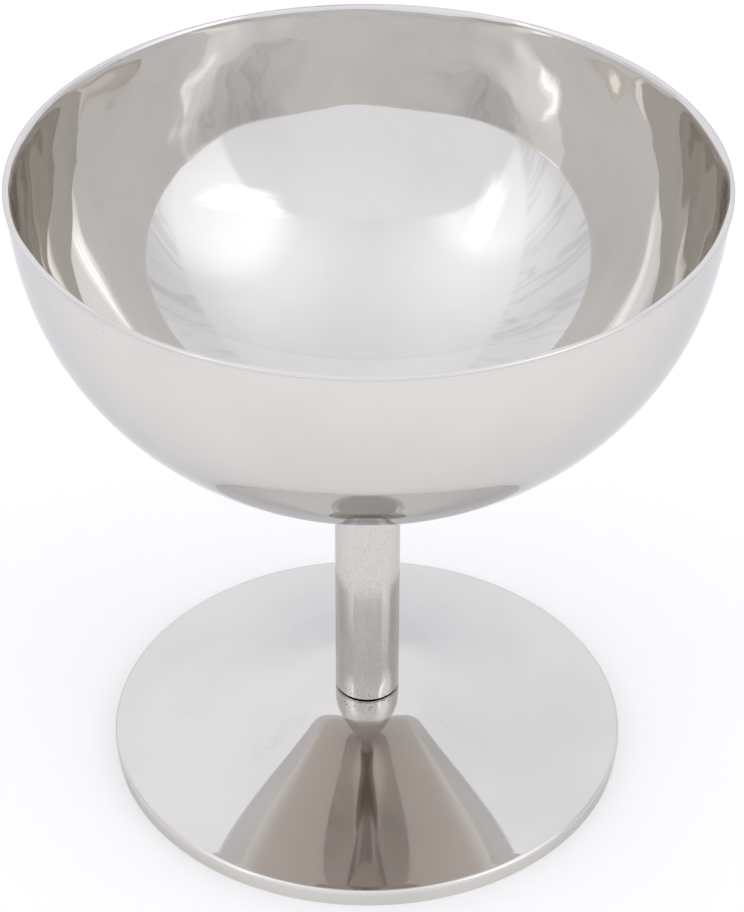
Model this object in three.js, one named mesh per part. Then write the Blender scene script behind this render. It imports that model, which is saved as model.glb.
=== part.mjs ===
// Stemmed ice cream coupe in polished stainless steel: a pressed bowl with a flared lip, a tubular stem
// and a pressed bell-shaped foot, clamped together by a threaded rod that runs through the stem.
// Millimetres, +Z up. The origin is on the stem's axis, on the surface that the foot stands on.
import * as THREE from 'three';

// Driving dimensions: fits
const SEAT_GAP = 0.3;
const RADIAL_FIT = 0.3;

// Driving dimensions: bowl
const RIM_DIAMETER = 90;
const BOWL_SHEET = 0.8;
const BOWL_DROP = 41.1;
const LIP_FLARE = 0.5;
const LIP_ANGLE = THREE.MathUtils.degToRad(45);

// Driving dimensions: stem, built outwards from the rod
const ROD_DIAMETER = 4;
const BOSS_WALL = 0.8;
const BOSS_LENGTH = 9;
const ROD_ENGAGEMENT = 7;
const STEM_WALL = 1;
const STEM_LENGTH = 39.4;
const STEM_END_CHAMFER = 0.2;

// Driving dimensions: foot
const FOOT_DIAMETER = 71;
const FOOT_SHEET = 1;
const FOOT_EDGE_HEIGHT = 2.2;
const FOOT_EDGE_RADIUS = 0.6;
const FOOT_EDGE_DRAFT = 0.2;
const OUTER_SLOPE = THREE.MathUtils.degToRad(8.8);
const FLANK_SLOPE = THREE.MathUtils.degToRad(18.5);
const FLANK_OUTER_RADIUS = 21.3;
const LAND_MARGIN = 1.9;
const SHOULDER_RADIUS = 14;
const HOLLOW_RADIUS = 60;

// Driving dimensions: fasteners under the foot
const CLAMP_WASHER_THICKNESS = 0.8;
const CLAMP_WASHER_MARGIN = 0.3;
const LOCK_WASHER_THICKNESS = 0.9;
const LOCK_WASHER_WIDTH = 1.5;
const LOCK_WASHER_SPLIT = 0.8;
const NUT_ACROSS_FLATS = 7;
const NUT_HEIGHT = 2.2;
const ROD_TAIL = 0.6;
const ROD_CHAMFER = 0.4;

// How finely round shapes are divided
const LARGE_ROUND_SIDES = 64;
const SMALL_ROUND_SIDES = 32;
const BOWL_STEPS = 14;
const LIP_STEPS = 3;
const LIP_EDGE_STEPS = 8;
const FOOT_ARC_DIVISIONS = 2;

// Sizes that follow from the driving dimensions
const rodRadius = ROD_DIAMETER / 2;
const holeRadius = rodRadius + RADIAL_FIT;
const bossRadius = holeRadius + BOSS_WALL;
const stemBore = bossRadius + RADIAL_FIT;
const stemRadius = stemBore + STEM_WALL;
const landRadius = stemRadius + LAND_MARGIN;
const footRadius = FOOT_DIAMETER / 2;

const shoulderCorner = landRadius + SHOULDER_RADIUS * Math.tan(FLANK_SLOPE / 2);
const flankFootHeight = FOOT_EDGE_HEIGHT + (footRadius - FLANK_OUTER_RADIUS) * Math.tan(OUTER_SLOPE);
const landHeight = flankFootHeight + (FLANK_OUTER_RADIUS - shoulderCorner) * Math.tan(FLANK_SLOPE);

const stemBottom = landHeight + SEAT_GAP;
const bowlBottom = stemBottom + STEM_LENGTH;
const bowlEquator = bowlBottom + BOWL_DROP;
const bowlRadius = RIM_DIAMETER / 2 - LIP_FLARE;
const lipBend = LIP_FLARE / (1 - Math.cos(LIP_ANGLE));

// Height of the bowl's outer surface at a distance from the axis
function bowlUnderside(radius) {
  return bowlEquator - BOWL_DROP * Math.sqrt(1 - (radius / bowlRadius) ** 2);
}

// Outline points from pairs of radius and height
function outlineOf(pairs) {
  return pairs.map(([radius, height]) => new THREE.Vector2(radius, height));
}

// Turns an outline that starts and ends on the Z axis round that axis
function turned(outline, sides) {
  return new THREE.LatheGeometry(outline, sides).rotateX(Math.PI / 2);
}

// Turns an outline that stays clear of the axis, closed on itself
function turnedRing(outline, sides) {
  return turned([...outline, outline[0].clone()], sides);
}

// Points along an arc of a circle or an ellipse between two angles
function arcPoints(centre, width, height, from, to, steps) {
  return new THREE.EllipseCurve(...centre, width, height, from, to, to < from).getPoints(steps);
}

// An outline drawn corner by corner, each corner rounded by its own radius as far as its sides leave room
function roundedOutline(corners) {
  const path = new THREE.Path();
  path.moveTo(corners[0].point.x, corners[0].point.y);
  for (let i = 1; i < corners.length - 1; i += 1) {
    const { point, rounding } = corners[i];
    if (rounding === 0) {
      path.lineTo(point.x, point.y);
      continue;
    }
    const back = corners[i - 1].point.clone().sub(point);
    const ahead = corners[i + 1].point.clone().sub(point);
    const room = Math.min(back.length(), ahead.length()) / 2;
    const half = back.angleTo(ahead) / 2;
    const radius = Math.min(rounding, room * Math.tan(half));
    back.normalize();
    ahead.normalize();
    const start = point.clone().addScaledVector(back, radius / Math.tan(half));
    const end = point.clone().addScaledVector(ahead, radius / Math.tan(half));
    const centre = back.clone().add(ahead).setLength(radius / Math.sin(half)).add(point);
    const startAngle = Math.atan2(start.y - centre.y, start.x - centre.x);
    const endAngle = Math.atan2(end.y - centre.y, end.x - centre.x);
    path.lineTo(start.x, start.y);
    path.absarc(centre.x, centre.y, radius, startAngle, endAngle, back.cross(ahead) > 0);
  }
  const last = corners[corners.length - 1].point;
  path.lineTo(last.x, last.y);
  return path.getPoints(FOOT_ARC_DIVISIONS);
}

function corner(radius, height, rounding = 0) {
  return { point: new THREE.Vector2(radius, height), rounding };
}

// The bowl's outline runs up the outside, round the lip's edge and down the inside
function bowlGeometry() {
  const quarter = Math.PI / 2;
  const half = BOWL_SHEET / 2;
  const bendRadius = bowlRadius - half + lipBend;
  const edgeRadius = bendRadius - lipBend * Math.cos(LIP_ANGLE);
  const edgeHeight = bowlEquator + lipBend * Math.sin(LIP_ANGLE);
  const lipEnd = Math.PI - LIP_ANGLE;
  const inside = bowlRadius - BOWL_SHEET;
  const insideDrop = BOWL_DROP - BOWL_SHEET;
  const bowlCentre = [0, bowlEquator];
  const bendCentre = [bendRadius, bowlEquator];
  const edgeCentre = [edgeRadius, edgeHeight];
  const stretches = [
    arcPoints(bowlCentre, bowlRadius, BOWL_DROP, -quarter, 0, BOWL_STEPS),
    arcPoints(bendCentre, lipBend - half, lipBend - half, Math.PI, lipEnd, LIP_STEPS),
    arcPoints(edgeCentre, half, half, -LIP_ANGLE, lipEnd, LIP_EDGE_STEPS),
    arcPoints(bendCentre, lipBend + half, lipBend + half, lipEnd, Math.PI, LIP_STEPS),
    arcPoints(bowlCentre, inside, insideDrop, 0, -quarter, BOWL_STEPS),
  ];
  const outline = stretches.flatMap((stretch, i) => (i === 0 ? stretch : stretch.slice(1)));
  return turned(outline, LARGE_ROUND_SIDES);
}

// The stem tube's upper end follows the bowl, and its lower end is chamfered where it meets the foot
function stemGeometry() {
  const outline = outlineOf([
    [stemBore, stemBottom],
    [stemRadius - STEM_END_CHAMFER, stemBottom],
    [stemRadius, stemBottom + STEM_END_CHAMFER],
    [stemRadius, bowlUnderside(stemRadius) - SEAT_GAP],
    [stemBore, bowlUnderside(stemBore) - SEAT_GAP],
  ]);
  return turnedRing(outline, SMALL_ROUND_SIDES);
}

const bossBottom = bowlBottom - SEAT_GAP - BOSS_LENGTH;
const rodTop = bossBottom + ROD_ENGAGEMENT;

// A plug under the bowl with a blind hole for the rod
function bossGeometry() {
  const outline = outlineOf([
    [0, rodTop + SEAT_GAP],
    [holeRadius, rodTop + SEAT_GAP],
    [holeRadius, bossBottom],
    [bossRadius, bossBottom],
    [bossRadius, bowlUnderside(bossRadius) - SEAT_GAP],
    [0, bowlBottom - SEAT_GAP],
  ]);
  return turned(outline, SMALL_ROUND_SIDES);
}

// The foot's upper face from its hole to the floor
const footFace = [
  corner(holeRadius, landHeight),
  corner(shoulderCorner, landHeight, SHOULDER_RADIUS),
  corner(FLANK_OUTER_RADIUS, flankFootHeight, HOLLOW_RADIUS),
  corner(footRadius, FOOT_EDGE_HEIGHT, FOOT_EDGE_RADIUS),
  corner(footRadius - FOOT_EDGE_DRAFT, 0),
];

// The same face one sheet thickness further in, with its roundings changed to match
function insetFace(face, depth) {
  const inward = (from, to) => {
    const along = to.point.clone().sub(from.point).normalize();
    return new THREE.Vector2(along.y, -along.x);
  };
  return face.map((at, i) => {
    if (i === 0) return corner(at.point.x, at.point.y - depth);
    if (i === face.length - 1) return corner(at.point.x - depth, at.point.y);
    const before = inward(face[i - 1], at);
    const after = inward(at, face[i + 1]);
    const shift = before.clone().add(after).multiplyScalar(depth / (1 + before.dot(after)));
    const point = at.point.clone().add(shift);
    const turn = before.cross(after) < 0 ? -depth : depth;
    return { point, rounding: Math.max(at.rounding + turn, 0) };
  });
}

function footGeometry() {
  const underside = roundedOutline(insetFace(footFace, FOOT_SHEET));
  const top = roundedOutline(footFace);
  return turnedRing([...underside, ...top.reverse()], LARGE_ROUND_SIDES);
}

const clampWasherTop = landHeight - FOOT_SHEET - SEAT_GAP;
const lockWasherTop = clampWasherTop - CLAMP_WASHER_THICKNESS - SEAT_GAP;
const nutTop = lockWasherTop - LOCK_WASHER_THICKNESS - SEAT_GAP;
const rodBottom = nutTop - NUT_HEIGHT - ROD_TAIL;

function rodGeometry() {
  const outline = outlineOf([
    [0, rodBottom],
    [rodRadius - ROD_CHAMFER, rodBottom],
    [rodRadius, rodBottom + ROD_CHAMFER],
    [rodRadius, rodTop - ROD_CHAMFER],
    [rodRadius - ROD_CHAMFER, rodTop],
    [0, rodTop],
  ]);
  return turned(outline, SMALL_ROUND_SIDES);
}

function clampWasherGeometry() {
  const bottom = clampWasherTop - CLAMP_WASHER_THICKNESS;
  const outer = landRadius - CLAMP_WASHER_MARGIN;
  const outline = outlineOf([
    [holeRadius, bottom],
    [outer, bottom],
    [outer, clampWasherTop],
    [holeRadius, clampWasherTop],
  ]);
  return turnedRing(outline, SMALL_ROUND_SIDES);
}

// A flat shape pushed down from a height
function plate(shape, top, thickness) {
  const settings = { depth: thickness, bevelEnabled: false, curveSegments: SMALL_ROUND_SIDES / 2 };
  return new THREE.ExtrudeGeometry(shape, settings).translate(0, 0, top - thickness);
}

// A ring with one slit, as a spring washer has
function lockWasherGeometry() {
  const outer = holeRadius + LOCK_WASHER_WIDTH;
  const outerSlit = Math.asin(LOCK_WASHER_SPLIT / 2 / outer);
  const innerSlit = Math.asin(LOCK_WASHER_SPLIT / 2 / holeRadius);
  const shape = new THREE.Shape();
  shape.absarc(0, 0, outer, outerSlit, 2 * Math.PI - outerSlit, false);
  shape.absarc(0, 0, holeRadius, 2 * Math.PI - innerSlit, innerSlit, true);
  shape.closePath();
  return plate(shape, lockWasherTop, LOCK_WASHER_THICKNESS);
}

function nutGeometry() {
  const acrossCorners = NUT_ACROSS_FLATS / Math.cos(Math.PI / 6);
  const corners = Array.from({ length: 6 }, (_, i) => {
    const angle = (i * Math.PI) / 3;
    return new THREE.Vector2(Math.cos(angle), Math.sin(angle)).multiplyScalar(acrossCorners / 2);
  });
  const shape = new THREE.Shape(corners);
  shape.holes.push(new THREE.Path().absarc(0, 0, holeRadius, 0, 2 * Math.PI, true));
  return plate(shape, nutTop, NUT_HEIGHT);
}

const polished = { color: 0xdcdbd9, roughness: 0.05, metalness: 1 };
const satin = { color: 0xcfcdca, roughness: 0.22, metalness: 1 };
const plain = { color: 0xb9b8b4, roughness: 0.38, metalness: 1 };

const pieces = [
  ['bowl', bowlGeometry(), polished],
  ['bowl_boss', bossGeometry(), plain],
  ['stem_tube', stemGeometry(), satin],
  ['tie_rod', rodGeometry(), plain],
  ['foot', footGeometry(), polished],
  ['clamp_washer', clampWasherGeometry(), plain],
  ['lock_washer', lockWasherGeometry(), plain],
  ['hex_nut', nutGeometry(), plain],
];

const coupe = new THREE.Group();
for (const [name, geometry, finish] of pieces) {
  const mesh = new THREE.Mesh(geometry, new THREE.MeshStandardMaterial(finish));
  mesh.name = name;
  coupe.add(mesh);
}

export default coupe;
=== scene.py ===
import math

import bmesh
import bpy
from mathutils import Matrix, Vector, noise


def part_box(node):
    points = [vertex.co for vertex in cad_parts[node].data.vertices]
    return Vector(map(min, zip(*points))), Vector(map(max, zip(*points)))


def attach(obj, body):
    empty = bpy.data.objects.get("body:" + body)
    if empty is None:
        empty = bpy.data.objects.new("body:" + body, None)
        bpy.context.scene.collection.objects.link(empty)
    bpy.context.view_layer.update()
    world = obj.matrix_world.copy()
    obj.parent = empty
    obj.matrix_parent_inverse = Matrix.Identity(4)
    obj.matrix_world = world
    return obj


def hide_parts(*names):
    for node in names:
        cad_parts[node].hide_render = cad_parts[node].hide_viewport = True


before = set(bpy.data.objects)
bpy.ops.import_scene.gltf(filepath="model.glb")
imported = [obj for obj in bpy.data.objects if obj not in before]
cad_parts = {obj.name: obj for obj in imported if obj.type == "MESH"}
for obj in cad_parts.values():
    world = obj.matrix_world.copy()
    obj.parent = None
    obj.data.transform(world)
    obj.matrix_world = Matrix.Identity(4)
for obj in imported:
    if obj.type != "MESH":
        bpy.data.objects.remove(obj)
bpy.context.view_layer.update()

# Looks of a stemmed ice cream coupe in polished stainless steel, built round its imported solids.
# Metres, +Z up. The origin is on the stem's axis, on the surface that the foot stands on.
MM = 0.001

# Bowl
BOWL_SHEET = 0.8 * MM
BOWL_DROP = 41.1 * MM
WALL_FLARE = 0.25 * MM
WALL_FLARE_RUN = 10 * MM
LIP_FLARE = 0.25 * MM
LIP_HEIGHT = 1.1 * MM
LIP_EDGE_ROUNDING = 0.3 * MM
RIPPLE_DEPTH = 0.44 * MM
RIPPLE_WIDTH = 15 * MM
RIPPLE_RUN = 17 * MM
FINE_RIPPLE_DEPTH = 0.08 * MM
FINE_RIPPLE_WIDTH = 4.4 * MM
# Shares of the bowl's height: where the ripple sets in, in front and behind, how much lower it does so at
# the sides, and over how much it grows. The last is the share of its depth that is there all the way down
RIPPLE_START = 0.62
RIPPLE_START_LOWER_ASIDE = 0.2
RIPPLE_GROWTH = 0.38
RIPPLE_LEAST = 0.03

# Stem and the boss that it hides
STEM_WALL = 1 * MM
STEM_CHAMFER = 0.2 * MM
JOINT_GAP = 0.03 * MM
SEAM_GAP = 0.18 * MM
ROD_ENGAGEMENT = 7 * MM
SEAT_GAP = 0.3 * MM

# Foot
FOOT_RADIUS = 35.5 * MM
FOOT_SHEET = 1 * MM
FOOT_EDGE_HEIGHT = 2.45 * MM
FOOT_EDGE_ROUNDING = 0.6 * MM
FOOT_EDGE_DRAFT = 0.2 * MM
FOOT_INNER_ROUNDING = 0.3 * MM
OUTER_SLOPE = math.radians(5.2)
LAND_RADIUS = 4.8 * MM
STEEPEST_RADIUS = 12.2 * MM
CONE_RADIUS = 34.85 * MM
STEEPEST_SOFTNESS = 0.2
# The search for the steepest slope: its upper limit, and how many times its range is halved
SLOPE_LIMIT = math.radians(40)
SLOPE_TRIES = 30

# Fasteners under the foot
THREAD_PITCH = 0.7 * MM
THREAD_DEPTH = 0.38 * MM
LOWER_THREAD = 12 * MM
UPPER_THREAD = 8 * MM
ROD_HOLE_RADIUS = 2.3 * MM
NUT_CHAMFER = math.radians(30)
# A share of the distance from the nut's axis to its flats
NUT_CHAMFER_START = 0.97
SMALL_EDGE = 0.12 * MM
LOCK_WASHER_SPLIT = 0.8 * MM

# How finely the round pieces are divided; the thread's steps are for one turn of it
LARGE_SIDES = 360
STEM_SIDES = 192
SMALL_SIDES = 96
BOWL_STEPS = 100
FOOT_STEPS = 110
ARC_STEPS = 20
EDGE_STEPS = 8
SMALL_EDGE_STEPS = 4
THREAD_STEPS = 8
ROD_SIDES = SMALL_SIDES // 2
# Where faces meet at more than this, the edge stays crisp; the nut's chamfers are shallower
CRISP_EDGE = math.radians(35)
NUT_CRISP_EDGE = math.radians(20)
MERGE_DISTANCE = 1e-8


# Outlines: lists of (radius, height) points, in order along the section

def arc(centre, size, start, end, steps):
    """Points along an arc of a circle, or of an ellipse where size is a pair, between two angles."""
    width, height = size if isinstance(size, tuple) else (size, size)
    angles = [start + (end - start) * i / steps for i in range(steps + 1)]
    return [(centre[0] + width * math.cos(a), centre[1] + height * math.sin(a)) for a in angles]


def rounded(corners, steps):
    """An outline from (radius, height, rounding) corners, each rounded by its own radius."""
    points = []
    for i, (radius, height, rounding) in enumerate(corners):
        here = Vector((radius, height))
        if rounding == 0:
            points.append((radius, height))
            continue
        back = (Vector(corners[i - 1][:2]) - here).normalized()
        ahead = (Vector(corners[(i + 1) % len(corners)][:2]) - here).normalized()
        half = back.angle(ahead) / 2
        start = here + back * (rounding / math.tan(half))
        end = here + ahead * (rounding / math.tan(half))
        centre = here + (back + ahead).normalized() * (rounding / math.sin(half))
        first = math.atan2(start.y - centre.y, start.x - centre.x)
        turn = math.atan2(end.y - centre.y, end.x - centre.x) - first
        turn = (turn + math.pi) % (2 * math.pi) - math.pi
        points += arc(centre, rounding, first, first + turn, steps)
    return points


# Meshes


def piece_from(name, mesh_data, node, material):
    """Finishes a bmesh as a smooth piece that stands for a CAD node and rides with the whole coupe."""
    bmesh.ops.remove_doubles(mesh_data, verts=mesh_data.verts, dist=MERGE_DISTANCE)
    bmesh.ops.recalc_face_normals(mesh_data, faces=mesh_data.faces)
    mesh = bpy.data.meshes.new(name)
    mesh_data.to_mesh(mesh)
    mesh_data.free()
    mesh.shade_smooth()
    piece = bpy.data.objects.new(name, mesh)
    bpy.context.scene.collection.objects.link(piece)
    mesh.materials.append(material)
    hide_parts(node)
    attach(piece, "root")
    return piece


def skin(rings, closed):
    """A surface over rings of points; a ring of one point closes the surface on the axis."""
    data = bmesh.new()
    loops = [[data.verts.new(point) for point in ring] for ring in rings]
    pairs = list(zip(loops, loops[1:]))
    if closed:
        pairs.append((loops[-1], loops[0]))
    for lower, upper in pairs:
        for i in range(max(len(lower), len(upper))):
            corners = [lower[i % len(lower)], lower[(i + 1) % len(lower)]]
            corners += [upper[(i + 1) % len(upper)], upper[i % len(upper)]]
            data.faces.new(list(dict.fromkeys(corners)))
    return data


def turned(outline, sides, closed=False):
    """An outline turned round the Z axis."""
    rings = []
    for radius, height in outline:
        if radius == 0:
            rings.append([Vector((0, 0, height))])
            continue
        angles = [2 * math.pi * i / sides for i in range(sides)]
        rings.append([Vector((radius * math.cos(a), radius * math.sin(a), height)) for a in angles])
    return skin(rings, closed)


def sharpen(piece, angle=CRISP_EDGE):
    """Keeps a piece's edges crisp where two faces meet at more than an angle."""
    piece.data.set_sharp_from_angle(angle=angle)


# Shader nodes

class Graph:
    """Adds shader nodes to a node tree; a value given to an input is a number, a colour or a socket."""

    def __init__(self, tree):
        self.tree = tree

    def feed(self, socket, value):
        if isinstance(value, bpy.types.NodeSocket):
            self.tree.links.new(value, socket)
        else:
            socket.default_value = value

    def node(self, kind, inputs=(), **settings):
        made = self.tree.nodes.new("ShaderNode" + kind)
        for name, value in settings.items():
            setattr(made, name, value)
        for name, value in dict(inputs).items():
            self.feed(made.inputs[name], value)
        return made

    def math(self, operation, *values):
        made = self.node("Math", operation=operation)
        for socket, value in zip(made.inputs, values):
            self.feed(socket, value)
        return made.outputs[0]

    def sum(self, first, *others):
        for other in others:
            first = self.math("ADD", first, other)
        return first

    def product(self, first, *others):
        for other in others:
            first = self.math("MULTIPLY", first, other)
        return first

    def ramp(self, value, low, high, to_low=0.0, to_high=1.0, kind="SMOOTHSTEP"):
        """A value's range from low to high, mapped to another range and held at its ends."""
        inputs = {"Value": value, "From Min": low, "From Max": high, "To Min": to_low, "To Max": to_high}
        return self.node("MapRange", inputs, interpolation_type=kind, clamp=True).outputs["Result"]

    def mix(self, factor, first, second):
        """A colour between two colours."""
        made = self.node("Mix", data_type="RGBA")
        for socket, value in zip((made.inputs[0], made.inputs[6], made.inputs[7]), (factor, first, second)):
            self.feed(socket, value)
        return made.outputs[2]

    def noise(self, vector, scale, detail=2.0, roughness=0.5, distortion=0.0):
        inputs = {"Vector": vector, "Scale": scale, "Detail": detail, "Roughness": roughness}
        inputs["Distortion"] = distortion
        return self.node("TexNoise", inputs).outputs["Fac"]

    def split(self, vector):
        return self.node("SeparateXYZ", {"Vector": vector}).outputs

    def join(self, x, y, z):
        return self.node("CombineXYZ", {"X": x, "Y": y, "Z": z}).outputs[0]


# Keeps divisions by a radius or a depth away from zero
LEAST_RADIUS = 1e-5
LEAST_DEPTH = 0.001


def turned_coordinates(graph):
    """A place on a turned surface, its x and y on a unit circle, its radius plus height, and its height."""
    place = graph.node("TexCoord").outputs["Object"]
    x, y, z = graph.split(place)
    radius = graph.math("SQRT", graph.sum(graph.math("POWER", x, 2.0), graph.math("POWER", y, 2.0)))
    safe = graph.math("MAXIMUM", radius, LEAST_RADIUS)
    across = graph.sum(radius, z)
    around_x = graph.math("DIVIDE", x, safe)
    around_y = graph.math("DIVIDE", y, safe)
    return place, around_x, around_y, across, z


def wound(graph, around_x, around_y, along, turns, density):
    """A vector for marks that run round the axis: slow round it, fine along a length in metres."""
    return graph.join(
        graph.product(around_x, turns), graph.product(around_y, turns), graph.product(along, density)
    )


def facing(graph, first, second):
    """The cosine of the angle between two directions."""
    made = graph.node("VectorMath", operation="DOT_PRODUCT")
    graph.feed(made.inputs[0], first)
    graph.feed(made.inputs[1], second)
    return made.outputs["Value"]


STEEL = (0.690, 0.668, 0.630, 1)
STEEL_DULL = (0.655, 0.634, 0.600, 1)
STEEL_GRAIN = (0.60, 0.58, 0.55, 1)
STEEL_AT_GRAZING = (0.80, 0.80, 0.82, 1)
BOWL_INSIDE_AT_GRAZING = (1, 1, 1, 1)
# Painted shade: a darker, warmer steel for the bowl's underside, standing in for the shaded floor near the
# foot that it mirrors
UNDER_BOWL_PAINTED_SHADE = (0.525, 0.474, 0.44, 1)
PIT = (0.16, 0.145, 0.13, 1)
FASTENER_STEEL = (0.60, 0.585, 0.56, 1)
FASTENER_DULL = (0.42, 0.40, 0.375, 1)

# Depth of the finest relief of each finish
POLISH_RELIEF = 0.0012 * MM
FASTENER_RELIEF = 0.004 * MM
# Polishing waves round the bowl's inner wall: their depth in units of POLISH_RELIEF, and where they set in
RING_RELIEF = 5.0
RINGS_START = 72 * MM
RINGS_FULL = 84 * MM
# Specks on the foot round the stem's end: where they thin out, and a height that the foot stays below
SPECKS_FULL = 6.0 * MM
SPECKS_END = 6.4 * MM
ABOVE_FOOT = 15 * MM
# The painted shade, a darker tone that stands in for the shaded floor mirrored by the bowl's underside,
# covers the bowl's outer face where its normal points down more steeply than this
PAINTED_SHADE_EDGE = -0.83
PAINTED_SHADE_FULL = -0.9
# Pits on the stem reach this far up from its lower end
STEM_PITS_REACH = 1.6 * MM


def new_material(name):
    material = bpy.data.materials.new(name)
    material.use_nodes = True
    shader = material.node_tree.nodes["Principled BSDF"]
    shader.inputs["Metallic"].default_value = 1.0
    shader.inputs["Specular Tint"].default_value = STEEL_AT_GRAZING
    return material, Graph(material.node_tree), shader


def specks_by_stem(graph, around_x, around_y, across, height):
    """Dark specks on the foot round the end of the stem, most of them in front."""
    speckle = graph.sum(
        graph.noise(wound(graph, around_x, around_y, across, 7.0, 3000.0), 1.0, detail=3.0),
        graph.ramp(around_y, -0.5, -0.9, -0.06, 0.03),
    )
    radius = graph.math("SUBTRACT", across, height)
    near = graph.product(
        graph.ramp(radius, SPECKS_END, SPECKS_FULL), graph.math("LESS_THAN", height, ABOVE_FOOT)
    )
    return graph.product(graph.ramp(speckle, 0.63, 0.68), near)


def polished_steel():
    """Mirror polish: buffing lines, a faint haze, hairline scratches, pits, specks by the stem, painted
    shade under the bowl standing in for the shaded floor that it mirrors, and polishing waves high up inside
    it."""
    material, graph, shader = new_material("mirror_polish")
    place, around_x, around_y, across, height = turned_coordinates(graph)
    lines = graph.noise(wound(graph, around_x, around_y, across, 3.0, 2600.0), 1.0, detail=3.0)
    haze = graph.noise(place, 55.0, detail=4.0)
    hairlines = {"Vector": place, "Rotation": (0.4, 0.9, 0.3), "Scale": (40, 1600, 900)}
    stretched = graph.node("Mapping", hairlines).outputs[0]
    scratches = graph.ramp(graph.noise(stretched, 1.0, detail=1.0), 0.70, 0.80)
    cells = graph.node("TexVoronoi", {"Vector": place, "Scale": 150.0, "Randomness": 1.0})
    specks = specks_by_stem(graph, around_x, around_y, across, height)
    pits = graph.sum(graph.ramp(cells.outputs["Distance"], 0.022, 0.012, 0.0, 0.35), specks)
    tone = graph.mix(graph.ramp(haze, 0.35, 0.7), STEEL, STEEL_DULL)
    normal = graph.node("NewGeometry").outputs["True Normal"]
    # Painted shade on the bowl's underside, where it mirrors the shaded floor near the foot
    under_bowl_shade = graph.product(
        graph.ramp(graph.split(normal)[2], PAINTED_SHADE_EDGE, PAINTED_SHADE_FULL),
        graph.math("GREATER_THAN", height, bowl_low.z / 2),
    )
    tone = graph.mix(under_bowl_shade, tone, UNDER_BOWL_PAINTED_SHADE)
    graph.feed(shader.inputs["Base Color"], graph.mix(pits, tone, PIT))
    outwards = facing(graph, graph.join(around_x, around_y, 0.0), normal)
    inside = graph.ramp(outwards, 0.02, -0.02)
    edge_tone = graph.mix(inside, STEEL_AT_GRAZING, BOWL_INSIDE_AT_GRAZING)
    graph.feed(shader.inputs["Specular Tint"], edge_tone)
    rough = graph.sum(
        graph.ramp(haze, 0.3, 0.75, 0.022, 0.045),
        graph.ramp(lines, 0.45, 0.8, 0.0, 0.02),
        graph.product(scratches, 0.05),
        graph.product(pits, 0.25),
    )
    graph.feed(shader.inputs["Roughness"], rough)
    waves = graph.noise(wound(graph, around_x, around_y, across, 9.0, 650.0), 1.0, detail=2.0)
    rings = graph.product(waves, inside, graph.ramp(height, RINGS_START, RINGS_FULL), RING_RELIEF)
    relief = graph.sum(graph.noise(place, 240.0), graph.product(scratches, -0.03), rings)
    bump = graph.node("Bump", {"Strength": 1.0, "Distance": POLISH_RELIEF, "Height": relief})
    graph.feed(shader.inputs["Normal"], bump.outputs[0])
    return material


def satin_steel():
    """Tube polished less finely: lines round the axis, a grainy speckle and dark pits at its lower end."""
    material, graph, shader = new_material("satin_polish")
    place, around_x, around_y, across, height = turned_coordinates(graph)
    lines_at = wound(graph, around_x, around_y, across, 2.0, 5200.0)
    lines = graph.noise(lines_at, 1.0, detail=3.0, roughness=0.6)
    grain = graph.noise(place, 4200.0, detail=2.0)
    streaks = graph.noise(wound(graph, around_x, around_y, height, 9.0, 60.0), 1.0, detail=3.0)
    tone = graph.mix(graph.ramp(grain, 0.35, 0.72), STEEL, STEEL_GRAIN)
    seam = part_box("stem_tube")[0].z
    near_seam = graph.ramp(height, seam + STEM_PITS_REACH, seam)
    pitting = graph.noise(wound(graph, around_x, around_y, height, 5.0, 2500.0), 1.0, detail=4.0)
    pits = graph.product(graph.ramp(pitting, 0.64, 0.70), near_seam)
    graph.feed(shader.inputs["Base Color"], graph.mix(pits, tone, PIT))
    rough = graph.sum(
        graph.ramp(grain, 0.3, 0.75, 0.08, 0.14),
        graph.ramp(streaks, 0.3, 0.7, -0.01, 0.02),
        graph.product(pits, 0.3),
    )
    graph.feed(shader.inputs["Roughness"], rough)
    shader.inputs["Anisotropic"].default_value = 0.5
    shader.inputs["Anisotropic Rotation"].default_value = 0.25
    tangent = graph.node("Tangent", direction_type="RADIAL", axis="Z")
    graph.feed(shader.inputs["Tangent"], tangent.outputs[0])
    relief = graph.sum(graph.product(lines, 0.6), graph.product(grain, 0.5), graph.product(pits, -1.0))
    bump = graph.node("Bump", {"Strength": 1.0, "Distance": POLISH_RELIEF, "Height": relief})
    graph.feed(shader.inputs["Normal"], bump.outputs[0])
    return material


def fastener_steel():
    """Plain stainless fasteners: turning marks and dull patches."""
    material, graph, shader = new_material("turned_finish")
    place, around_x, around_y, across, _ = turned_coordinates(graph)
    lines = graph.noise(wound(graph, around_x, around_y, across, 2.0, 7000.0), 1.0, detail=2.0)
    patches = graph.noise(place, 700.0, detail=5.0, roughness=0.6)
    tone = graph.mix(graph.ramp(patches, 0.3, 0.7), FASTENER_STEEL, FASTENER_DULL)
    graph.feed(shader.inputs["Base Color"], tone)
    rough = graph.sum(graph.ramp(patches, 0.3, 0.75, 0.26, 0.42), graph.product(lines, 0.08))
    graph.feed(shader.inputs["Roughness"], rough)
    relief = graph.sum(lines, patches)
    bump = graph.node("Bump", {"Strength": 1.0, "Distance": FASTENER_RELIEF, "Height": relief})
    graph.feed(shader.inputs["Normal"], bump.outputs[0])
    return material


# Pieces

bowl_low, bowl_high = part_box("bowl")
rim_radius = bowl_high.x
bowl_radius = rim_radius - LIP_FLARE - WALL_FLARE
bowl_equator = bowl_low.z + BOWL_DROP


def bowl_underside(radius):
    """Height of the bowl's outer surface at a distance from the axis."""
    return bowl_equator - BOWL_DROP * math.sqrt(1 - (radius / bowl_radius) ** 2)


def smooth_step(value, low, high):
    """Zero at low and one at high, with a soft start and end."""
    share = min(max((value - low) / (high - low), 0), 1)
    return share * share * (3 - 2 * share)


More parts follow.
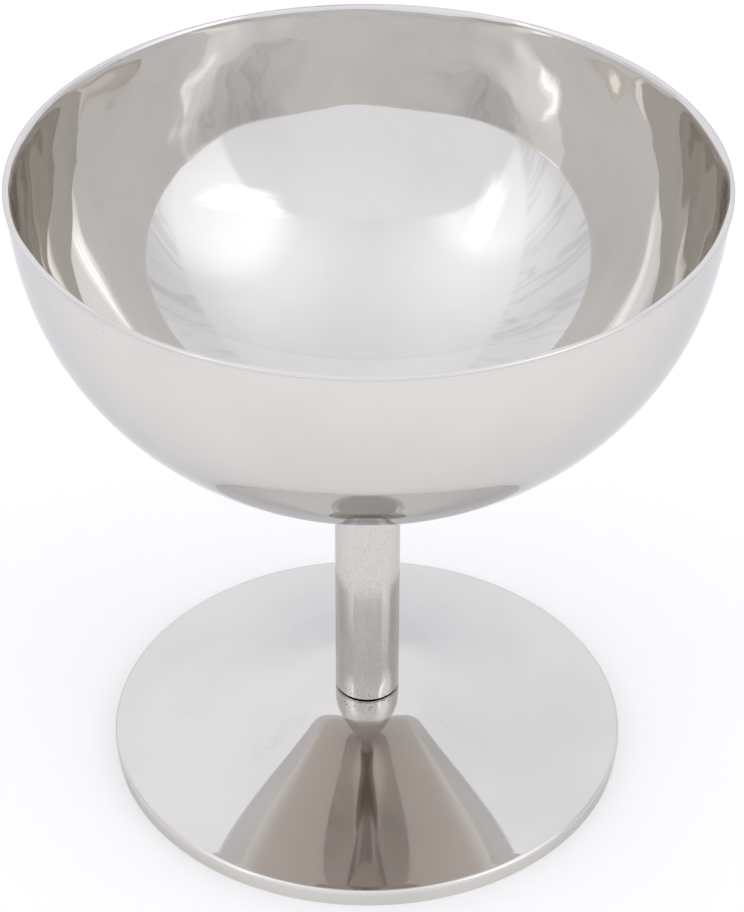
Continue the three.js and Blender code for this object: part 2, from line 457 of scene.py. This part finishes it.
def ripple(point):
    """How far the sheet's inner face stands in from its ideal shape: long upright waves and finer ones."""
    rise = (point.z - bowl_low.z) / (bowl_high.z - bowl_low.z)
    aside = abs(point.x) / max(point.xy.length, MM)
    start = RIPPLE_START - RIPPLE_START_LOWER_ASIDE * aside ** 2
    growth = smooth_step(rise, start, start + RIPPLE_GROWTH)
    around = point.xy.normalized() * bowl_radius / RIPPLE_WIDTH
    waves = RIPPLE_DEPTH * noise.noise((around.x, around.y, point.z / RIPPLE_RUN))
    waves += FINE_RIPPLE_DEPTH * noise.noise(point / FINE_RIPPLE_WIDTH)
    return waves * (RIPPLE_LEAST + (1 - RIPPLE_LEAST) * growth)


def bowl_wall(inset_by):
    """One face of the bowl from its lowest point up to its lip; the top of the wall opens out a little."""
    radius, drop = bowl_radius - inset_by, BOWL_DROP - inset_by
    lip_base = bowl_high.z - LIP_HEIGHT
    end = math.asin((lip_base - bowl_equator) / drop)
    wall = arc((0, bowl_equator), (radius, drop), -math.pi / 2, end, BOWL_STEPS)
    wall[0] = (0, bowl_equator - drop)
    flare_base = lip_base - WALL_FLARE_RUN
    return [(r + WALL_FLARE * max((z - flare_base) / WALL_FLARE_RUN, 0) ** 2, z) for r, z in wall]


def bowl_lip():
    """The flared edge of the wall, from its outer face over the rim to its inner face."""
    edge = LIP_EDGE_ROUNDING
    first_lean = 2 * WALL_FLARE / WALL_FLARE_RUN
    last_lean = 2 * LIP_FLARE / LIP_HEIGHT - first_lean
    outer, inner = [], []
    for i in range(1, ARC_STEPS):
        share = i / ARC_STEPS
        flare = LIP_HEIGHT * (first_lean * share + (last_lean - first_lean) * share ** 2 / 2)
        radius, height = rim_radius - LIP_FLARE + flare, bowl_high.z - LIP_HEIGHT * (1 - share)
        if height < bowl_high.z - edge:
            outer.append((radius, height))
            inner.append((radius - BOWL_SHEET, height))
    rim = arc((rim_radius - edge, bowl_high.z - edge), edge, -math.atan(last_lean), math.pi / 2, EDGE_STEPS)
    last = (rim_radius - BOWL_SHEET + edge, bowl_high.z - edge)
    rim += arc(last, edge, math.pi / 2, math.pi - math.atan(last_lean), EDGE_STEPS)
    return outer + rim + inner[::-1]


def make_bowl(material):
    outside, lip, inside = bowl_wall(0), bowl_lip(), bowl_wall(BOWL_SHEET)
    piece = piece_from("bowl_shell", turned(outside + lip + inside[::-1], LARGE_SIDES), "bowl", material)
    inner_start = 1 + (len(outside) + len(lip) // 2) * LARGE_SIDES
    for vertex in piece.data.vertices[inner_start:]:
        vertex.co.xy -= vertex.co.xy.normalized() * ripple(vertex.co)
    return piece


def make_stem(material):
    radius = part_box("stem_tube")[1].x
    bore = radius - STEM_WALL
    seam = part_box("foot")[1].z + SEAM_GAP
    outline = [
        (bore, seam),
        (radius - STEM_CHAMFER, seam),
        (radius, seam + STEM_CHAMFER),
        (radius, bowl_underside(radius) - JOINT_GAP),
        (bore, bowl_underside(bore) - JOINT_GAP),
    ]
    piece = piece_from("stem", turned(outline, STEM_SIDES, closed=True), "stem_tube", material)
    sharpen(piece)
    return piece


def foot_slope(radius, steepest):
    """The upper face's slope: level under the stem, eased up to its steepest and down to the outer cone."""
    share = min(max((radius - STEEPEST_RADIUS) / (CONE_RADIUS - STEEPEST_RADIUS), 0), 1)
    soft = STEEPEST_SOFTNESS
    down = share ** 2 / (2 * soft) if share < soft else share - soft / 2
    shoulder = steepest * smooth_step(radius, LAND_RADIUS, STEEPEST_RADIUS)
    return shoulder + (OUTER_SLOPE - steepest) * down / (1 - soft / 2)


def foot_profile(steepest):
    """(radius, height, slope) down the foot's upper face, from its hole to its outermost radius."""
    step = (FOOT_RADIUS - ROD_HOLE_RADIUS) / FOOT_STEPS
    points = [(ROD_HOLE_RADIUS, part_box("foot")[1].z, 0.0)]
    for i in range(1, FOOT_STEPS + 1):
        _, height, before = points[-1]
        radius = ROD_HOLE_RADIUS + step * i
        slope = foot_slope(radius, steepest)
        points.append((radius, height - step * math.tan((before + slope) / 2), slope))
    return points


def foot_face():
    """The upper face whose steepest slope takes it down to the height of the foot's edge."""
    gentle, steep = OUTER_SLOPE, SLOPE_LIMIT
    for _ in range(SLOPE_TRIES):
        middle = (gentle + steep) / 2
        if foot_profile(middle)[-1][1] > FOOT_EDGE_HEIGHT:
            gentle = middle
        else:
            steep = middle
    return foot_profile(middle)


def make_foot(material):
    face = [point for point in foot_face() if point[0] < FOOT_RADIUS - 2 * FOOT_EDGE_ROUNDING]
    standing = FOOT_RADIUS - FOOT_EDGE_DRAFT
    top = [(r, z, 0) for r, z, _ in face]
    top += [(FOOT_RADIUS, FOOT_EDGE_HEIGHT, FOOT_EDGE_ROUNDING), (standing, 0, 0)]
    under = [(r - FOOT_SHEET * math.sin(a), z - FOOT_SHEET * math.cos(a), 0) for r, z, a in face]
    under[0] = (ROD_HOLE_RADIUS, face[0][1] - FOOT_SHEET, 0)
    under += [(FOOT_RADIUS - FOOT_SHEET, FOOT_EDGE_HEIGHT - FOOT_SHEET, FOOT_INNER_ROUNDING)]
    under += [(standing - FOOT_SHEET, 0, 0)]
    outline = rounded(under, EDGE_STEPS) + rounded(top, EDGE_STEPS)[::-1]
    piece = piece_from("foot_shell", turned(outline, LARGE_SIDES, closed=True), "foot", material)
    sharpen(piece)
    return piece


def ring_outline(inner, outer, low, high, edge):
    """A washer's section with broken edges."""
    corners = [(inner, low, edge), (outer, low, edge), (outer, high, edge), (inner, high, edge)]
    return rounded(corners, SMALL_EDGE_STEPS)


def make_clamp_washer(material):
    low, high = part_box("clamp_washer")
    outline = ring_outline(ROD_HOLE_RADIUS, high.x, low.z, high.z, SMALL_EDGE)
    return piece_from("washer_plain", turned(outline, SMALL_SIDES, closed=True), "clamp_washer", material)


def make_lock_washer(material):
    low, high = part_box("lock_washer")
    outer = -low.x
    outline = ring_outline(ROD_HOLE_RADIUS, outer, low.z, high.z, SMALL_EDGE)
    middle = (ROD_HOLE_RADIUS + outer) / 2
    slit = LOCK_WASHER_SPLIT / 2 / middle
    rings = []
    for i in range(SMALL_SIDES + 1):
        angle = slit + (2 * math.pi - 2 * slit) * i / SMALL_SIDES
        rings.append([Vector((r * math.cos(angle), r * math.sin(angle), z)) for r, z in outline])
    data = skin(rings, closed=False)
    data.verts.ensure_lookup_table()
    count = len(outline)
    data.faces.new([data.verts[i] for i in range(count)])
    data.faces.new([data.verts[len(data.verts) - count + i] for i in range(count)])
    piece = piece_from("washer_split", data, "lock_washer", material)
    sharpen(piece)
    return piece


def make_nut(material):
    low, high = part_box("hex_nut")
    flat = high.y
    chamfer_start = flat * NUT_CHAMFER_START
    steps = SMALL_SIDES // 6
    outlines = []
    for i in range(6 * steps):
        angle = 2 * math.pi * i / (6 * steps)
        off_flat = (angle + math.pi / 6) % (math.pi / 3) - math.pi / 6
        reach = flat / math.cos(abs(abs(off_flat) - math.pi / 6))
        drop = max(0.0, reach - chamfer_start) * math.tan(NUT_CHAMFER)
        section = [
            (ROD_HOLE_RADIUS - THREAD_DEPTH, low.z + THREAD_DEPTH),
            (ROD_HOLE_RADIUS, low.z),
            (chamfer_start, low.z),
            (reach, low.z + drop),
            (reach, high.z - drop),
            (chamfer_start, high.z),
            (ROD_HOLE_RADIUS, high.z),
            (ROD_HOLE_RADIUS - THREAD_DEPTH, high.z - THREAD_DEPTH),
        ]
        outlines.append([Vector((r * math.cos(angle), r * math.sin(angle), z)) for r, z in section])
    rings = [list(ring) for ring in zip(*outlines)]
    piece = piece_from("nut", skin(rings, closed=True), "hex_nut", material)
    sharpen(piece, NUT_CRISP_EDGE)
    return piece


def make_rod(material):
    low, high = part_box("tie_rod")
    radius = high.x
    rows = round((high.z - low.z) / THREAD_PITCH * THREAD_STEPS)
    rings = [[Vector((0, 0, low.z))]]
    for row in range(rows + 1):
        height = low.z + (high.z - low.z) * row / rows
        threaded = height < low.z + LOWER_THREAD or height > high.z - UPPER_THREAD
        end_taper = max(0.0, THREAD_DEPTH - min(height - low.z, high.z - height))
        ring = []
        for i in range(ROD_SIDES):
            turn = i / ROD_SIDES
            phase = (height / THREAD_PITCH - turn) % 1.0
            groove = THREAD_DEPTH * abs(2 * phase - 1) if threaded else 0.0
            reach = radius - max(groove, end_taper)
            angle = 2 * math.pi * turn
            ring.append(Vector((reach * math.cos(angle), reach * math.sin(angle), height)))
        rings.append(ring)
    rings.append([Vector((0, 0, high.z))])
    piece = piece_from("rod_threaded", skin(rings, closed=False), "tie_rod", material)
    sharpen(piece)
    return piece


def make_boss(material):
    low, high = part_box("bowl_boss")
    radius = high.x
    hole_top = low.z + ROD_ENGAGEMENT + SEAT_GAP
    outline = [
        (0, hole_top),
        (ROD_HOLE_RADIUS, hole_top),
        (ROD_HOLE_RADIUS, low.z + SMALL_EDGE),
        (ROD_HOLE_RADIUS + SMALL_EDGE, low.z),
        (radius - SMALL_EDGE, low.z),
        (radius, low.z + SMALL_EDGE),
        (radius, bowl_underside(radius) - JOINT_GAP),
        (radius / 2, bowl_underside(radius / 2) - JOINT_GAP),
        (0, bowl_low.z - JOINT_GAP),
    ]
    piece = piece_from("boss", turned(outline, SMALL_SIDES), "bowl_boss", material)
    sharpen(piece)
    return piece


# Studio: a pale floor, a white light tent all round, and the camera

# The bowl's inner face mirrors itself many times near its rim
REFLECTIONS = 32
FLOOR_SIZE = 6.0
FLOOR_GLOW = 0.06
FLOOR_PALE = (0.925, 0.918, 0.89, 1)
FLOOR_PALEST = (0.945, 0.938, 0.91, 1)
LIGHT_TINT = (1.0, 1.0135, 1.09)
GLOW_EDGE = math.cos(math.radians(58))
PANEL_WIDTH = 1.3
PANEL_HEIGHT = 1.33
LEFT_CEILING_EDGE = (0.629, -0.566, 0.533)
RIGHT_CEILING_EDGE = (-0.395, -0.712, 0.582)
# The lamps' light on the cloth: azimuth and elevation in degrees, for a core its width too, and the strength
RIGHT_GLOW = (118, 50, 0.35)
LEFT_GLOW = (-118, 50, 0.28)
RIGHT_CORE = (117, 28, 32, 0.30)
LEFT_CORE = (-127, 33, 26, 0.22)
# Two directions that a slit passes through, as azimuth and elevation in degrees, and its strength
RIGHT_SLIT = ((118, 28), (137, 40), 0.8)
LEFT_SLIT = ((-128, 28), (-125, 42), 0.36)
# How much darker the side walls are than the ceiling
WALL_SHADE = 0.08


def make_floor():
    data = bmesh.new()
    half = FLOOR_SIZE / 2
    corners = ((-half, -half), (half, -half), (half, half), (-half, half))
    data.faces.new([data.verts.new((x, y, 0)) for x, y in corners])
    mesh = bpy.data.meshes.new("floor")
    data.to_mesh(mesh)
    data.free()
    floor = bpy.data.objects.new("floor", mesh)
    bpy.context.scene.collection.objects.link(floor)
    material = bpy.data.materials.new("floor_paper")
    material.use_nodes = True
    graph = Graph(material.node_tree)
    shader = material.node_tree.nodes["Principled BSDF"]
    fibres = graph.noise(graph.node("TexCoord").outputs["Object"], 900.0, detail=3.0)
    graph.feed(shader.inputs["Base Color"], graph.mix(fibres, FLOOR_PALE, FLOOR_PALEST))
    shader.inputs["Roughness"].default_value = 0.9
    shader.inputs["Specular IOR Level"].default_value = 0.0
    shader.inputs["Emission Color"].default_value = (1, 1, 1, 1)
    shader.inputs["Emission Strength"].default_value = FLOOR_GLOW
    mesh.materials.append(material)


def direction(azimuth, elevation):
    """A unit vector; azimuth 0 is behind the coupe, seen from the camera, and 90 is to its right."""
    a, e = math.radians(azimuth), math.radians(elevation)
    return (math.sin(a) * math.cos(e), math.cos(a) * math.cos(e), math.sin(e))


def broad_glow(graph, towards, azimuth, elevation, strength):
    """A lamp's light spread over the tent's cloth."""
    near = facing(graph, towards, direction(azimuth, elevation))
    spread = graph.ramp(near, GLOW_EDGE, 1.0, kind="LINEAR")
    return graph.product(graph.math("POWER", spread, 3.0), strength)


def lamp_core(graph, towards, azimuth, elevation, width, strength):
    """The brighter patch where a lamp stands close behind the cloth, even over half of its width."""
    edge = math.cos(math.radians(width))
    even = math.cos(math.radians(width / 2))
    return graph.ramp(facing(graph, towards, direction(azimuth, elevation)), edge, even, 0.0, strength)


def wall_beyond(graph, towards, axis):
    """One where the view meets a side wall of the tent, past the edge of its ceiling."""
    beyond = graph.ramp(facing(graph, towards, axis), -0.03, -0.07)
    return graph.product(beyond, graph.ramp(facing(graph, towards, (0, 1, 0)), 0.6, 0.3))


def front_panel(graph, x, y, z):
    """Where the plainer panel behind the camera shows, and how bright it is there."""
    depth = graph.math("MAXIMUM", graph.product(y, -1.0), LEAST_DEPTH)
    across = graph.math("DIVIDE", graph.math("ABSOLUTE", x), depth)
    up = graph.math("DIVIDE", graph.math("MAXIMUM", z, 0.0), depth)
    reach = graph.sum(
        graph.math("POWER", graph.product(across, 1 / PANEL_WIDTH), 4.0),
        graph.math("POWER", graph.product(up, 1 / PANEL_HEIGHT), 4.0),
    )
    mask = graph.product(graph.ramp(reach, 1.2, 0.8), graph.math("LESS_THAN", y, 0.0))
    return mask, graph.ramp(up, 0.1, PANEL_HEIGHT, 1.0, 1.08)


def bright_slit(graph, towards, low, high, strength):
    """A gap beside the front panel that passes through two directions: strips of bare lamp light."""
    across = Vector(direction(*low)).cross(Vector(direction(*high))).normalized()
    x, y, z = graph.split(towards)
    offset = facing(graph, towards, across)
    strips = graph.noise(graph.join(graph.product(offset, 45.0), graph.product(z, 1.5), 0.0), 1.0)
    light = graph.ramp(graph.math("ABSOLUTE", offset), 0.095, 0.035, 0.0, strength)
    depth = graph.math("MAXIMUM", graph.product(y, -1.0), LEAST_DEPTH)
    aside = graph.math("DIVIDE", graph.product(x, math.copysign(1, low[0])), depth)
    tall = graph.product(graph.ramp(z, 0.38, 0.54), graph.ramp(z, 0.82, 0.68))
    uneven = graph.ramp(strips, 0.35, 0.6, 0.4, 1.2)
    return graph.product(light, graph.ramp(aside, 0.74, 1.12), tall, uneven)


def back_seam(graph, x, y, z):
    """A faint line where the ceiling's cloth bends down into the back wall, and a paler wall beyond it."""
    height = graph.math("MAXIMUM", z, 0.05)
    bow = graph.math("POWER", graph.math("DIVIDE", x, height), 2.0)
    past = graph.math("SUBTRACT", graph.math("DIVIDE", y, height), graph.product(bow, 0.25))
    line = graph.ramp(graph.math("ABSOLUTE", graph.math("SUBTRACT", past, 0.27)), 0.012, 0.0, 0.0, -0.05)
    return graph.sum(line, graph.ramp(past, 0.26, 0.30, 0.0, 0.035))


def low_back(graph, x, y, z):
    """How much dimmer the back wall is towards the floor, with a faint edge along its foot."""
    edge = graph.ramp(graph.sum(z, graph.product(x, 0.16)), 0.191, 0.183, 0.0, -0.025)
    dimmer = graph.sum(graph.ramp(z, 0.55, 0.12, 0.0, -0.06), edge)
    return graph.product(dimmer, graph.ramp(y, 0.6, 0.85))


def creases(graph, x, y, z):
    """Folds that run up the side walls' cloth."""
    away = graph.math("MAXIMUM", graph.math("ABSOLUTE", x), 0.05)
    along = graph.product(graph.math("DIVIDE", y, away), 8.0)
    up = graph.product(graph.math("DIVIDE", z, away), 0.9)
    folds = graph.noise(graph.join(along, up, x), 1.0, detail=2.0, roughness=0.5, distortion=0.6)
    return graph.ramp(graph.math("ABSOLUTE", graph.math("SUBTRACT", folds, 0.5)), 0.0, 0.07, -0.10, 0.03)


def make_tent():
    """Soft light from a white tent: two lamps, a plain front panel, slits beside it and creased walls."""
    world = bpy.data.worlds.new("light_tent")
    bpy.context.scene.world = world
    world.use_nodes = True
    graph = Graph(world.node_tree)
    towards = graph.node("TexCoord").outputs["Generated"]
    x, y, z = graph.split(towards)
    walls = graph.sum(
        wall_beyond(graph, towards, LEFT_CEILING_EDGE),
        wall_beyond(graph, towards, RIGHT_CEILING_EDGE),
    )
    folded = graph.math("SUBTRACT", creases(graph, x, y, z), WALL_SHADE)
    lit = graph.sum(
        graph.ramp(y, 0.2, 0.8, 0.89, 1.03),
        graph.ramp(x, -0.6, 0.6, 0.02, -0.04),
        graph.ramp(z, 0.6, 0.95, 0.0, 0.08),
        back_seam(graph, x, y, z),
        low_back(graph, x, y, z),
        broad_glow(graph, towards, *RIGHT_GLOW),
        broad_glow(graph, towards, *LEFT_GLOW),
        lamp_core(graph, towards, *RIGHT_CORE),
        lamp_core(graph, towards, *LEFT_CORE),
        graph.product(walls, folded, graph.ramp(z, 0.1, 0.25)),
    )
    mask, panel = front_panel(graph, x, y, z)
    above = graph.sum(
        graph.product(lit, graph.math("SUBTRACT", 1.0, mask)),
        graph.product(panel, mask),
        bright_slit(graph, towards, *RIGHT_SLIT),
        bright_slit(graph, towards, *LEFT_SLIT),
    )
    level = graph.sum(
        graph.product(above, graph.math("GREATER_THAN", z, 0.0)),
        graph.math("LESS_THAN", z, 0.0),
    )
    colour = graph.node("VectorMath", operation="SCALE")
    graph.feed(colour.inputs[0], LIGHT_TINT)
    graph.feed(colour.inputs["Scale"], level)
    graph.feed(world.node_tree.nodes["Background"].inputs["Color"], colour.outputs[0])


# The camera that took the photograph: its frame is 744 by 912 pixels
FRAME_LONG_SIDE = 912
FOCAL_PIXELS = 2876.4
CAMERA_PLACE = (0.0, -0.30724, 0.27133)
CAMERA_DOWN = math.radians(36.054)
CAMERA_YAW = math.radians(-0.103)
CAMERA_ROLL = math.radians(0.233)
CAMERA_NEAR = 0.01


def make_camera():
    camera = bpy.data.cameras.new("camera")
    camera.lens = FOCAL_PIXELS * camera.sensor_width / FRAME_LONG_SIDE
    camera.clip_start = CAMERA_NEAR
    holder = bpy.data.objects.new("camera", camera)
    bpy.context.scene.collection.objects.link(holder)
    turn = Matrix.Rotation(CAMERA_YAW, 4, "Z") @ Matrix.Rotation(math.pi / 2 - CAMERA_DOWN, 4, "X")
    holder.matrix_world = Matrix.Translation(CAMERA_PLACE) @ turn @ Matrix.Rotation(CAMERA_ROLL, 4, "Z")
    bpy.context.scene.camera = holder


polished = polished_steel()
satin = satin_steel()
plain = fastener_steel()
make_bowl(polished)
make_foot(polished)
make_stem(satin)
for make_fastener in (make_boss, make_rod, make_clamp_washer, make_lock_washer, make_nut):
    make_fastener(plain)
make_floor()
make_tent()
make_camera()
bpy.context.scene.view_settings.view_transform = "Standard"
bpy.context.scene.cycles.max_bounces = REFLECTIONS
bpy.context.scene.cycles.glossy_bounces = REFLECTIONS
